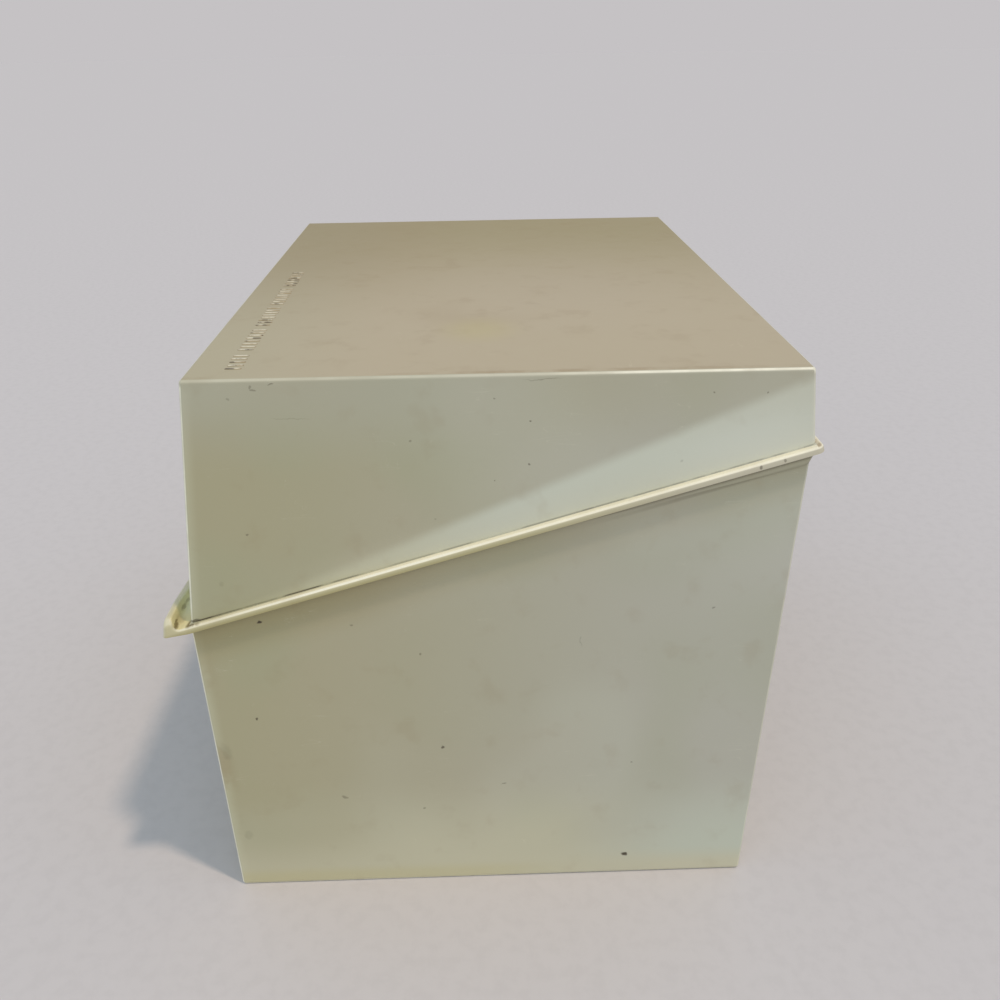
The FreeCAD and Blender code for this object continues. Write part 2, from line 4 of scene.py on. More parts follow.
import bmesh
import bpy
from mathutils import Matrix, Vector


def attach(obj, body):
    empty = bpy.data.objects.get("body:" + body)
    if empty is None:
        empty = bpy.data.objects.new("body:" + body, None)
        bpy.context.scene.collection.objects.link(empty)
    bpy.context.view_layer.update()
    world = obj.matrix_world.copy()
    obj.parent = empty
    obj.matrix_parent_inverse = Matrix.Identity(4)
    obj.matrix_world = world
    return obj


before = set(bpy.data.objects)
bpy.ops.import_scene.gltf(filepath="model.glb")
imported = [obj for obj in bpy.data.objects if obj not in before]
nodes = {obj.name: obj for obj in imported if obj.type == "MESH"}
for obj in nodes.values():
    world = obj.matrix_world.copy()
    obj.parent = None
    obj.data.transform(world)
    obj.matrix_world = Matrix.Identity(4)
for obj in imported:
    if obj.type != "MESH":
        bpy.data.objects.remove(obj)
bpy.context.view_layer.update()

scene = bpy.context.scene
mm = 0.001
random.seed(41)
print("frame loaded:", sorted(nodes))


def srgb(red, green, blue):
    linear = [((c / 255 + 0.055) / 1.055) ** 2.4 if c > 10 else c / 255 / 12.92 for c in (red, green, blue)]
    return (*linear, 1.0)


# A material built up in layers, each covering the last where its mask is 1. Its lengths are in mm.
class Finish:
    def __init__(self, name, color, roughness):
        self.material = bpy.data.materials.new(name)
        self.material.use_nodes = True
        self.tree = self.material.node_tree
        self.shader = self.tree.nodes["Principled BSDF"]
        coordinate = self.add("ShaderNodeTexCoord")
        self.place = self.vector("SCALE", coordinate.outputs["Object"], Scale=1.0 / mm)
        self.normal = coordinate.outputs["Normal"]
        self.x, self.y, self.z = self.split(self.place)
        self.color = color
        self.roughness = roughness

    def add(self, kind, inputs=None, **settings):
        node = self.tree.nodes.new(kind)
        for name, value in settings.items():
            setattr(node, name, value)
        for name, value in (inputs or {}).items():
            if isinstance(value, bpy.types.NodeSocket):
                self.tree.links.new(value, node.inputs[name])
            else:
                node.inputs[name].default_value = value
        return node

    def vector(self, operation, *values, **named):
        inputs = {**dict(enumerate(values)), **named}
        node = self.add("ShaderNodeVectorMath", inputs, operation=operation)
        return node.outputs["Value" if operation in ("LENGTH", "DOT_PRODUCT") else "Vector"]

    def split(self, vector):
        return self.add("ShaderNodeSeparateXYZ", {0: vector}).outputs[:3]

    def maths(self, operation, a, b=0.0, c=0.0):
        return self.add("ShaderNodeMath", {0: a, 1: b, 2: c}, operation=operation).outputs[0]

    def chain(self, operation, values):
        result = values[0]
        for value in values[1:]:
            result = self.maths(operation, result, value)
        return result

    def times(self, *masks):
        return self.chain("MULTIPLY", masks)

    def most(self, *masks):
        return self.chain("MAXIMUM", masks)

    def least(self, *masks):
        return self.chain("MINIMUM", masks)

    def inverse(self, mask):
        return self.maths("SUBTRACT", 1.0, mask)

    # Goes smoothly from low to high while value goes from start to end
    def rise(self, value, start, end, low=0.0, high=1.0):
        return self.add("ShaderNodeMapRange", {"Value": value, "From Min": start, "From Max": end,
                                               "To Min": low, "To Max": high},
                        interpolation_type="SMOOTHSTEP", clamp=True).outputs[0]

    # Cloudy values about 0.5: one, or three that differ. Size is that of the clouds.
    def clouds(self, size, detail=2.0, place=None, three=False):
        node = self.add("ShaderNodeTexNoise", {"Vector": place or self.place, "Scale": 1.0 / size,
                                               "Detail": detail, "Roughness": 0.6})
        return self.split(node.outputs["Color"]) if three else node.outputs[0]

    # Grains of dirt, one at most in each cell; only a share of the cells holds one
    def specks(self, place, cell, share, largest):
        cells = self.add("ShaderNodeTexVoronoi", {"Vector": place, "Scale": 1.0 / cell})
        chance, size, strength = self.split(cells.outputs["Color"])
        radius = self.maths("MULTIPLY", self.rise(size, 0.0, 1.0, 0.4, 1.0), largest / cell)
        past = self.maths("SUBTRACT", cells.outputs["Distance"], radius)
        soft = 0.25 * largest / cell
        inside = self.rise(past, soft, -soft)
        chosen = self.rise(chance, share + 0.01, share)
        return self.times(inside, chosen, self.rise(strength, 0.0, 1.0, 0.25, 1.0))

    # A soft-edged oval; size gives its half lengths and turn its tilt about X
    def oval(self, place, at, size, turn=0.0, soft=0.5):
        offset = self.vector("SUBTRACT", place, at)
        tilt = (math.radians(-turn), 0.0, 0.0)
        local = self.add("ShaderNodeMapping", {"Vector": offset, "Rotation": tilt}).outputs[0]
        scaled = self.vector("MULTIPLY", local, tuple(1.0 / half for half in size))
        return self.rise(self.vector("LENGTH", scaled), 1.0 + soft, 1.0 - soft)

    # Thin lines where a stretched pattern crosses its middle value
    def hairlines(self, scale, turn, width):
        turned = [math.radians(angle) for angle in turn]
        stretched = self.add("ShaderNodeMapping", {"Vector": self.place, "Scale": scale, "Rotation": turned})
        pattern = self.clouds(1.0, 1.0, stretched.outputs[0])
        return self.rise(self.maths("ABSOLUTE", self.maths("SUBTRACT", pattern, 0.5)), width, 0.0)

    def mix(self, amount, a, b):
        node = self.add("ShaderNodeMix", data_type="RGBA")
        for socket, value in ((node.inputs[0], amount), (node.inputs[6], a), (node.inputs[7], b)):
            if isinstance(value, bpy.types.NodeSocket):
                self.tree.links.new(value, socket)
            else:
                socket.default_value = value
        return node.outputs[2]

    def blend(self, amount, a, b):
        return self.add("ShaderNodeMix", {0: amount, 2: a, 3: b}, data_type="FLOAT").outputs[0]

    # Covers what is there with a colour, a roughness or both, as far as mask says
    def layer(self, mask, color=None, roughness=None):
        if color is not None:
            self.color = self.mix(mask, self.color, color)
        if roughness is not None:
            self.roughness = self.blend(mask, self.roughness, roughness)

    # Bumps as (height, distance in mm, strength)
    def relief(self, *bumps):
        normal = None
        for height, distance, strength in bumps:
            node = self.add("ShaderNodeBump", {"Height": height, "Strength": strength,
                                               "Distance": distance * mm})
            if normal is not None:
                self.tree.links.new(normal, node.inputs["Normal"])
            normal = node.outputs[0]
        self.tree.links.new(normal, self.shader.inputs["Normal"])

    def done(self):
        for value, name in ((self.color, "Base Color"), (self.roughness, "Roughness")):
            if isinstance(value, bpy.types.NodeSocket):
                self.tree.links.new(value, self.shader.inputs[name])
            else:
                self.shader.inputs[name].default_value = value
        return self.material


# Cream plastic, yellowed by age, browned by hands and dust, bright where edges are rubbed; some colours are
# painted light and shade
plastic = {
    "fresh": srgb(206, 201, 176),       # inside, where light has not reached
    "agedFront": srgb(174, 168, 134),   # outside, towards the front
    "agedBack": srgb(183, 181, 165),    # outside, towards the hinge
    "paler": srgb(206, 209, 190),
    # paintedLightFront, paler and palest also make the painted pool of light on the lid's near end
    "paintedLightFront": srgb(206, 206, 174),
    "palest": srgb(216, 219, 204),
    # edgeGlow is also the painted highlight beside the front edge
    "edgeGlow": srgb(205, 205, 174),
    # paleFootBounceLight and coolFoot make the painted bounce light near the table
    "paleFootBounceLight": srgb(202, 198, 170),
    "coolFoot": srgb(196, 201, 182),
    "greener": srgb(166, 170, 136),
    "rosier": srgb(190, 175, 156),
    # rubbed is also the painted highlight on edges
    "rubbed": srgb(246, 243, 220),
    "topNear": srgb(186, 173, 143),
    # topFarDirtAndShade is partly painted shade
    "topFarDirtAndShade": srgb(158, 146, 105),
    "stain": srgb(146, 122, 84),
    "grime": srgb(58, 46, 29),
    # flangeTop is partly a painted highlight; flangeFootShade is painted shade on the lower side
    "flangeTop": srgb(249, 243, 216),
    "flangeSide": srgb(206, 197, 154),
    "flangeFootShade": srgb(174, 163, 110),
    "flangeBack": srgb(204, 196, 176),
    # underFlangeStainAndShade is partly painted shade, partly brown stain
    "underFlangeStainAndShade": srgb(142, 122, 62),
    # scoopNearPaintedLight and scoopFarPaintedLight are painted light in the lip's hollow
    "scoopNearPaintedLight": srgb(230, 220, 166),
    "scoopFarPaintedLight": srgb(250, 252, 214),
    "lipSoil": srgb(104, 88, 42),
    "yellowed": srgb(190, 178, 112),
    "roughness": 0.44,
}

# The parting plane slopes up from the front to the hinge. Pairs say where a mask starts and where it is
# full, in mm.
rim = {
    "slope": math.radians(16.1),
    "frontY": -49.761,
    "frontZ": 52.8,
    "flangeTop": 1.2,             # the flange's upper face, above the parting plane
    "beyondSkin": (-0.02, -0.3),  # depth at which a surface is flange and no longer wall
    "notBarrels": (-1.9, -1.5),   # depth behind the back wall, past which the barrels are left out
    "sideHeights": (0.15, 1.0),
    "lipAlong": (-0.9, -1.4),     # along the slope, from the front wall
    "scoopAlong": (-2.25, -1.85),
    "scoopDepth": (-0.03, -0.15),
    "scoopFloor": (0.95, 1.15),   # above the parting plane, like scoopTop
    "scoopTop": (4.4, 3.6),
    # scoopFarPaintedLight: where the far colour of the painted light takes over
    "scoopFarPaintedLight": (69.0, 62.0),     # X, from the yellower end to the brighter rest
    "crease": (1.52, 1.3),        # above the parting plane, where dirt lies against the wall
    # Dirt by the lip's near end: x, y, z, half width, strength
    "lipDirt": [
        (69.9, -52.0, 53.85, 0.42, 0.85), (69.4, -52.1, 54.2, 0.25, 0.8), (67.9, -52.0, 53.8, 0.9, 0.35),
        (69.9, -49.75, 54.15, 0.55, 0.85), (69.7, -49.1, 54.3, 0.4, 0.85), (70.0, -48.5, 54.5, 0.4, 0.55),
        (64.1, -52.0, 54.1, 0.35, 0.5), (61.9, -52.0, 53.9, 0.3, 0.4),
    ],
    # Dirt along the near end's flange: y, half length, strength
    "wallDirt": [
        (-47.3, 1.7, 0.9), (-38.8, 2.2, 0.35), (-31.4, 3.0, 0.8), (-14.0, 3.5, 0.3),
        (-7.0, 2.4, 0.4), (4.2, 1.2, 0.45), (13.0, 1.2, 0.6),
    ],
}
rimUp = (0.0, -math.sin(rim["slope"]), math.cos(rim["slope"]))
rimBack = (0.0, rimUp[2], -rimUp[1])

# Each shell's outer skin as planes, (normal, distance from the origin); the end plane is met by |x|.
# Marks seen on the near end are (y, z, half width, half height, tilt, strength).
lidShell = {
    "front": ((0.0, -0.9968, 0.0802), 53.83),
    "back": ((0.0, 0.9959, 0.0906), 54.49),
    "end": ((1.0, -0.0024, 0.0084), 70.36),
    "flat": ((0.0, 0.0, 1.0), 94.0),
    "nearEnd": 69.8,
    "marks": [
        (-48.9, 54.55, 0.8, 0.24, 16, 0.7), (-36.2, 92.8, 0.2, 0.24, 0, 0.4),
        (-35.9, 92.4, 0.4, 0.13, -10, 0.4), (-33.2, 93.2, 0.4, 0.14, 0, 0.55),
        (-39.6, 91.0, 0.26, 0.2, 0, 0.3), (4.4, 86.8, 0.14, 0.14, 0, 0.7),
        (4.2, 79.9, 0.16, 0.16, 0, 0.6), (-0.9, 90.3, 0.2, 0.1, 0, 0.4),
        (-1.0, 77.3, 0.12, 0.12, 0, 0.5), (-13.4, 83.9, 0.22, 0.12, 20, 0.4),
        (-10.0, 71.3, 0.16, 0.16, 0, 0.25), (-39.0, 69.3, 0.2, 0.16, 0, 0.5),
        (-43.9, 61.0, 0.3, 0.5, 0, 0.12), (6.3, 93.05, 2.6, 0.07, 1, 0.35),
        (31.3, 90.6, 0.16, 0.16, 0, 0.5), (27.2, 79.9, 0.16, 0.16, 0, 0.2),
        (39.3, 90.35, 0.16, 0.16, 0, 0.5), (38.9, 79.0, 0.3, 0.24, 0, 0.6),
        (42.4, 79.9, 0.24, 0.24, 0, 0.5), (-30.9, 87.9, 2.6, 0.07, -3, 0.2),
    ],
}
tubShell = {
    "front": ((0.0, -0.9990, -0.0454), 47.31),
    "back": ((0.0, 0.9982, -0.0593), 41.89),
    "end": ((1.0, 0.0024, -0.0084), 69.23),
    "flat": ((0.0, 0.0, -1.0), 0.0),
    "nearEnd": 69.0,
    "marks": [
        (-41.1, 35.6, 0.22, 0.35, 15, 0.8), (-38.85, 54.08, 0.46, 0.17, 4, 1.0),
        (-24.3, 53.0, 0.25, 0.16, 0, 0.4), (-13.5, 47.2, 0.16, 0.16, 0, 0.45),
        (-10.6, 28.7, 0.28, 0.24, 0, 0.8), (33.8, 54.4, 0.2, 0.14, 0, 0.45),
        (12.5, 48.7, 0.07, 1.0, 8, 0.3), (21.6, 24.3, 0.22, 0.14, 0, 0.5),
        (-0.3, 20.7, 0.5, 0.12, 10, 0.45), (-27.7, 18.7, 0.5, 0.25, -20, 0.4),
        (-14.2, 15.9, 0.2, 0.2, 0, 0.45), (21.0, 4.2, 0.5, 0.36, 0, 1.0),
        (-45.1, 11.2, 0.7, 0.9, 0, 0.12), (-46.9, 29.1, 0.9, 1.6, 10, 0.14),
    ],
}


# What both shells share: how strongly each kind of age, wear and painted highlight shows, from 0 to 1, and a
# few reaches in mm
wear = {
    "skin": (1.8, 0.9),           # depth over which the inside turns into the outside
    "onNearEnd": (-3.0, -1.5),    # distance to the near end
    "clouds": {"paler": 0.15, "greener": 0.3, "rosier": 0.08},
    "cloudShareElsewhere": 0.6,   # on the near end they show in full
    "toBackElsewhere": 0.55,
    "highlightBesideFront": 0.4,
    "insideByRim": 0.45,
    "insideReach": 16.0,          # how far from the rim the inside is yellower
    "insideGlow": 0.4,
    "insideRosy": 0.2,
    "paperDust": 0.1,
    "film": 0.12,
    "speckCells": (13.0, 29.0),   # one grain at most in each
    "speckSizes": (0.2, 0.36),
    "speckShare": 0.14,
    "specksOffNearEnd": 0.75,
    "marks": 0.92,
    "markSoftness": 0.35,
    "scratchWidth": 0.005,
    "scratches": 0.1,
    "raggedness": 0.9,            # how far the edges of marks are shifted about
}

# The lid's near end has a painted pool of light below a slanting line; the top carries ovals, given as
# (centre, half lengths, softness, strength)
lidAge = {
    "slant": (0.0, -0.381, 0.9245),
    "slantEdge": (69.0, 66.8),
    # pale is the strength of the painted pool of light
    "pale": 0.9,
    "paleRoughness": 0.42,
    # the painted bounce light over the flange
    "paintedBounceOverFlange": 0.3,
    "coolerFront": 0.4,
    "yellowerBack": 0.35,
    "topHeights": (93.0, 93.8),
    "topRoughness": 0.48,
    "greenFront": 0.3,
    "farLeft": 0.34,
    "topDust": 0.08,
    "middle": ((12.0, 12.0, 94.0), (24.0, 20.0, 8.0), 0.9, 0.14),
    "ring": ((33.0, -4.0, 94.0), (8.0, 9.0, 4.0), 0.6, 0.14),
    "rubbedOut": ((27.0, 1.0, 94.0), (8.0, 8.0, 4.0), 0.6, 1.0),
    "patch": ((44.0, -2.8, 94.0), (6.0, 5.0, 4.0), 0.8, 0.3),
    "nearLine": ((68.6, 14.0, 94.0), (0.7, 26.0, 2.0), 0.7, 0.4),
}

# The base has painted bounce light near the table, and painted shade with brown stain close under the flange
tubAge = {
    # footHeights, lowHeights and low place the painted bounce light near the table
    "footHeights": (24.0, 6.0),   # Z, like lowHeights and stripHeights
    "lowHeights": (12.0, 2.0),
    "low": 0.6,
    "stripHeights": (4.0, 1.6),
    "strip": 0.26,
    "corner": 0.4,
    "byHinge": 0.16,
    # underReach and under: the painted shade and stain below the flange
    "underReach": (-9.0, -0.5),   # above the parting plane, like shadeLine
    "under": (0.48, 0.3),         # strength at the front and towards the back
    # shadeLine: a painted shadow line right under the flange
    "shadeLine": (-0.75, -0.25),
    # bandShade: a painted shade line below the band
    "bandShadeBelow": 1.4,         # below the parting plane
    "bandShadeHalf": (0.4, 0.1),
    "bandShade": 0.22,
}


# The plastic of either shell: first where a point lies on it, then its layers of age and wear, some of them
# painted light and shade
class ShellFinish(Finish):
    def __init__(self, name, shell):
        super().__init__(name, plastic["fresh"], plastic["roughness"])
        self.frontDepth = self.depth(self.place, shell["front"])
        self.backDepth = self.depth(self.place, shell["back"])
        self.endDepth = self.depth(self.vector("ABSOLUTE", self.place), shell["end"])
        self.skinDepth = self.least(self.frontDepth, self.backDepth, self.endDepth,
                                    self.depth(self.place, shell["flat"]))
        self.outside = self.rise(self.skinDepth, *wear["skin"])
        self.nearX = shell["nearEnd"]
        self.nearEnd = self.rise(self.x, *(self.nearX + distance for distance in wear["onNearEnd"]))
        rimLevel = rim["frontY"] * rimUp[1] + rim["frontZ"] * rimUp[2]
        rimStart = rim["frontY"] * rimBack[1] + rim["frontZ"] * rimBack[2]
        self.aboveRim = self.maths("SUBTRACT", self.vector("DOT_PRODUCT", self.place, rimUp), rimLevel)
        self.alongRim = self.maths("SUBTRACT", self.vector("DOT_PRODUCT", self.place, rimBack), rimStart)
        self.facingUp = self.vector("DOT_PRODUCT", self.normal, rimUp)
        self.sides = self.split(self.vector("ABSOLUTE", self.normal))
        self.broad = self.clouds(32.0, 1.0, three=True)
        self.mottle = self.clouds(7.0, 3.0, three=True)
        fine = self.add("ShaderNodeTexNoise", {"Vector": self.place, "Scale": 0.8, "Detail": 2.0})
        self.fine = self.split(fine.outputs["Color"])
        shift = wear["raggedness"]
        jitter = self.vector("MULTIPLY_ADD", fine.outputs["Color"], (shift,) * 3, (-shift / 2,) * 3)
        self.ragged = self.vector("ADD", self.place, jitter)

    # Distance below one of the shell's outer planes
    def depth(self, place, plane):
        direction, distance = plane
        return self.maths("SUBTRACT", distance, self.vector("DOT_PRODUCT", place, direction))

    # Yellower to the front and cooler to the back, in broad clouds, with a painted highlight beside the front
    # edge
    def ageing(self):
        elsewhere = self.inverse(self.nearEnd)
        toBack = self.times(self.rise(self.y, -46.0, 44.0),
                            self.rise(elsewhere, 0.0, 1.0, 1.0, wear["toBackElsewhere"]))
        self.layer(self.outside, self.mix(toBack, plastic["agedFront"], plastic["agedBack"]))
        for cloud, (color, amount) in zip(self.broad, wear["clouds"].items()):
            here = self.rise(elsewhere, 0.0, 1.0, amount, amount * wear["cloudShareElsewhere"])
            self.layer(self.times(self.outside, self.rise(cloud, 0.48, 0.68), here), plastic[color])
        # Painted highlight: a paler strip on the end face beside its front edge
        beside = self.times(self.rise(self.frontDepth, 2.2, 0.0), self.rise(self.endDepth, 0.9, 0.3))
        self.layer(self.times(beside, wear["highlightBesideFront"]), plastic["edgeGlow"])

    # Less light has reached the inside; it is yellower by the rim, with a film of paper dust.
    # The side is 1 for a shell above the rim and -1 for one below.
    def lining(self, side):
        inside = self.inverse(self.outside)
        byRim = self.rise(self.aboveRim, wear["insideReach"] * side, 0.0)
        self.layer(self.times(inside, byRim, wear["insideByRim"]), plastic["agedFront"])
        glow = self.rise(self.broad[0], 0.45, 0.7)
        self.layer(self.times(inside, glow, wear["insideGlow"]), plastic["edgeGlow"])
        rosy = self.rise(self.broad[2], 0.5, 0.75)
        self.layer(self.times(inside, rosy, wear["insideRosy"]), plastic["rosier"])
        dusty = self.rise(self.mottle[0], 0.5, 0.72)
        self.layer(self.times(inside, dusty, wear["paperDust"]), plastic["stain"], 0.58)

    # Painted light on the near end: a paler pool of light below a slanting line and painted bounce light just
    # above the flange, with cooler and yellower tints near its top
    def paintedLightAndTints(self):
        # Painted light: the paler zone below the slant stands in for light falling on the near end
        slant = self.vector("DOT_PRODUCT", self.place, lidAge["slant"])
        zone = self.times(self.nearEnd, self.rise(slant, *lidAge["slantEdge"]),
                          self.rise(self.y, -40.0, 8.0, 0.4, 1.0))
        toHinge = self.rise(self.y, 18.0, 46.0)
        pale = self.mix(self.rise(self.y, -28.0, 2.0), plastic["paintedLightFront"], plastic["paler"])
        self.layer(self.times(zone, lidAge["pale"]), self.mix(toHinge, pale, plastic["palest"]),
                   lidAge["paleRoughness"])
        # Painted light: the lid wall just above the flange is paler, as light bounced off the flange
        paintedBounceOverFlange = self.times(self.nearEnd, self.rise(self.aboveRim, 7.0, rim["flangeTop"] + 0.1),
                                self.rise(self.y, -38.0, -20.0))
        self.layer(self.times(paintedBounceOverFlange, lidAge["paintedBounceOverFlange"]), plastic["fresh"])
        coolerFront = self.times(self.outside, self.rise(self.z, 78.0, 92.0), self.rise(self.y, 10.0, -20.0))
        self.layer(self.times(coolerFront, lidAge["coolerFront"]), plastic["agedBack"])
        yellowerBack = self.times(self.outside, self.rise(self.z, 80.0, 92.0), self.rise(self.y, -4.0, 14.0))
        self.layer(self.times(yellowerBack, lidAge["yellowerBack"]), plastic["agedFront"])

    # One of the ovals on the lid's top, with its strength
    def topOval(self, name):
        at, size, soft, strength = lidAge[name]
        return self.oval(self.ragged, at, size, soft=soft), strength

    # Browned by hands and darker towards the far end, partly painted shade; lighter towards the middle
    def handledTop(self):
        top = self.times(self.rise(self.sides[2], 0.95, 0.99), self.rise(self.z, *lidAge["topHeights"]))
        # Partly painted shade: the top goes darker from the near end to the far end
        self.layer(top, self.mix(self.rise(self.x, -66.0, 46.0), plastic["topFarDirtAndShade"], plastic["topNear"]),
                   lidAge["topRoughness"])
        self.layer(self.times(top, self.rise(self.y, -16.0, -46.0), lidAge["greenFront"]), plastic["greener"])
        farLeft = self.times(self.rise(self.y, 0.0, -44.0), self.rise(self.x, 60.0, -30.0))
        self.layer(self.times(top, farLeft, lidAge["farLeft"]), plastic["stain"])
        self.layer(self.times(top, *self.topOval("middle")), plastic["rosier"])
        dusty = self.times(self.rise(self.mottle[0], 0.5, 0.7), self.rise(self.broad[1], 0.4, 0.65, 0.3, 1.0))
        self.layer(self.times(top, dusty, lidAge["topDust"]), plastic["stain"], 0.56)
        ring, strength = self.topOval("ring")
        kept = self.inverse(self.topOval("rubbedOut")[0])
        self.layer(self.times(top, ring, kept, strength), plastic["stain"])
        self.layer(self.times(top, *self.topOval("patch")), plastic["yellowed"])
        nearLine, strength = self.topOval("nearLine")
        broken = self.rise(self.mottle[1], 0.35, 0.6)
        self.layer(self.times(top, nearLine, broken, strength), plastic["stain"], 0.55)

    # Painted bounce light near the table, stained front corners, and painted shade with brown stain close
    # under the flange
    def tubSides(self):
        # Painted light: the foot and a low band are paler, as light bounced up from the table
        foot = self.times(self.rise(self.z, *tubAge["footHeights"]),
                          self.rise(self.y, -44.0, -8.0, 0.15, 1.0), self.outside)
        cool = self.times(self.nearEnd, self.rise(self.y, 6.0, 34.0), self.rise(self.z, 1.5, 6.0))
        footColor = self.mix(cool, plastic["paleFootBounceLight"], plastic["coolFoot"])
        self.layer(self.times(foot, self.rise(self.broad[0], 0.3, 0.6, 0.4, 0.8)), footColor)
        low = self.rise(self.z, *tubAge["lowHeights"])
        self.layer(self.times(low, self.outside, tubAge["low"]), footColor)
        strip = self.times(self.outside, self.rise(self.z, *tubAge["stripHeights"]),
                           self.rise(self.y, 16.0, -8.0))
        self.layer(self.times(strip, tubAge["strip"]), plastic["yellowed"])
        corner = self.times(self.rise(self.frontDepth, 3.5, 0.3), self.rise(self.endDepth, 1.2, 0.3),
                            self.rise(self.mottle[1], 0.42, 0.62), self.rise(self.z, 4.0, 14.0),
                            self.rise(self.z, 50.0, 40.0))
        self.layer(self.times(corner, tubAge["corner"]), plastic["stain"], 0.55)
        byHinge = self.times(self.nearEnd, self.rise(self.y, 20.0, 48.0),
                             self.rise(self.aboveRim, -30.0, -8.0))
        self.layer(self.times(byHinge, tubAge["byHinge"]), plastic["palest"])
        wall = self.times(self.outside, self.rise(self.sides[2], 0.9, 0.6))
        # Partly painted shade, partly brown stain: the wall darkens for some mm below the flange
        under = self.times(self.rise(self.aboveRim, *tubAge["underReach"]),
                           self.rise(self.y, -44.0, 20.0, *tubAge["under"]),
                           self.rise(self.y, 20.0, 42.0, 1.0, 1.25))
        self.layer(self.times(wall, under), plastic["underFlangeStainAndShade"])
        # Painted shadow: a dark line right under the flange
        shadeLine = self.times(self.rise(self.aboveRim, *tubAge["shadeLine"]),
                               self.rise(self.y, -40.0, 0.0, 0.15, 0.45))
        self.layer(self.times(wall, shadeLine), plastic["grime"])
        # Painted shade: a thin dark line below the band on the base's wall
        offLine = self.maths("ABSOLUTE", self.maths("ADD", self.aboveRim, tubAge["bandShadeBelow"]))
        self.layer(self.times(wall, self.rise(offLine, *tubAge["bandShadeHalf"]),
                              self.rise(self.y, 10.0, 30.0), tubAge["bandShade"]), plastic["grime"])

    # Pale, with painted shade on the lower part of its side; its upper face rubbed bright, partly a painted
    # highlight; on the lip less so
    def flange(self):
        flange = self.times(self.rise(self.skinDepth, *rim["beyondSkin"]),
                            self.rise(self.backDepth, *rim["notBarrels"]))
        onLip = self.rise(self.alongRim, *rim["lipAlong"])
        # Painted shade: the flange's side darkens towards its lower edge
        height = self.rise(self.aboveRim, *rim["sideHeights"])
        side = self.mix(height, plastic["flangeFootShade"], plastic["flangeSide"])
        side = self.mix(self.rise(self.y, -5.0, 40.0, 0.0, 0.75), side, plastic["flangeBack"])
        self.layer(self.times(flange, 0.85), side)
        # Partly worn, partly painted highlight: the upper face is near white
        bright = self.times(self.rise(self.y, -50.0, -15.0, 0.5, 1.0),
                            self.rise(self.mottle[0], 0.35, 0.6, 1.0, 0.8))
        upper = self.rise(self.facingUp, 0.15, 0.55)
        self.layer(self.times(flange, upper, self.inverse(self.times(onLip, 0.6)), bright),
                   plastic["flangeTop"], 0.36)
        return self.times(flange, upper, self.rise(self.aboveRim, 0.9, 1.1))

    # The hollow between lip and wall: painted light brightens it; yellower and soiled at the near end,
    # brighter and speckled beyond
    def scoop(self, onFlange):
        self.inScoop = self.times(self.rise(self.alongRim, *rim["scoopAlong"]),
                                  self.rise(self.frontDepth, *rim["scoopDepth"]),
                                  self.rise(self.aboveRim, *rim["scoopFloor"]),
                                  self.rise(self.aboveRim, *rim["scoopTop"]),
                                  self.rise(self.sides[0], 0.6, 0.3))
        # Painted light: the hollow's pale colours stand in for light reaching into it
        farther = self.rise(self.x, *rim["scoopFarPaintedLight"], 0.0, 0.85)
        self.layer(self.times(self.inScoop, 0.95),
                   self.mix(farther, plastic["scoopNearPaintedLight"], plastic["scoopFarPaintedLight"]), 0.55)
        blotches = self.rise(self.mottle[0], 0.48, 0.66)
        self.layer(self.times(self.inScoop, blotches, 0.2), plastic["stain"], 0.6)
        specks = self.times(self.inScoop, self.rise(self.fine[1], 0.64, 0.72),
                            self.rise(self.x, 62.0, 50.0), 0.4)
        self.layer(specks, plastic["grime"], 0.7)
        soil = [self.times(self.oval(self.ragged, (x, y, z), (1.2, half, half)), strength)
                for x, y, z, half, strength in rim["lipDirt"]]
        self.layer(self.times(self.most(self.inScoop, onFlange), self.most(*soil)), plastic["lipSoil"], 0.7)

    # Dirt caught where the flange meets the walls
    def crease(self):
        wall = self.times(self.rise(self.facingUp, 0.75, 0.4), self.rise(self.facingUp, -0.6, -0.3),
                          self.rise(self.skinDepth, -0.15, -0.05))
        line = self.times(wall, self.rise(self.skinDepth, 0.5, 0.25),
                          self.rise(self.aboveRim, *rim["crease"]))
        caught = self.times(self.rise(self.mottle[2], 0.42, 0.56, 0.1, 0.6),
                            self.rise(self.y, -34.0, -18.0, 1.0, 0.7))
        alongY = self.split(self.ragged)[1]
        for y, half, strength in rim["wallDirt"]:
            away = self.maths("ABSOLUTE", self.maths("SUBTRACT", alongY, y))
            span = self.rise(away, half + 0.9, half - 0.9)
            caught = self.most(caught, self.times(span, self.nearEnd, strength))
        self.layer(self.times(line, caught), plastic["grime"], 0.7)
        behind = self.times(self.rise(self.backDepth, 0.05, -0.15), self.rise(self.backDepth, -0.9, -0.5),
                            self.rise(self.facingUp, 0.5, 0.9))
        self.layer(self.times(behind, self.rise(self.mottle[0], 0.4, 0.6), 0.7), plastic["stain"], 0.6)

    # Rounded edges, rubbed bright in patches and most along their middle line, partly a painted highlight
    def rubbedAndHighlightedEdges(self, amount, spared=0.0):
        curved = self.inverse(self.most(*self.sides))
        patches = self.rise(self.mottle[1], 0.3, 0.6, 0.6, 1.0)
        level = self.rise(curved, 0.04, 0.14)
        underside = self.times(self.rise(self.skinDepth, -0.05, -0.3), self.rise(self.facingUp, 0.4, 0.1))
        mask = self.times(level, self.outside, patches, self.inverse(underside), self.inverse(spared))
        self.layer(self.times(mask, amount), plastic["rubbed"], 0.32)

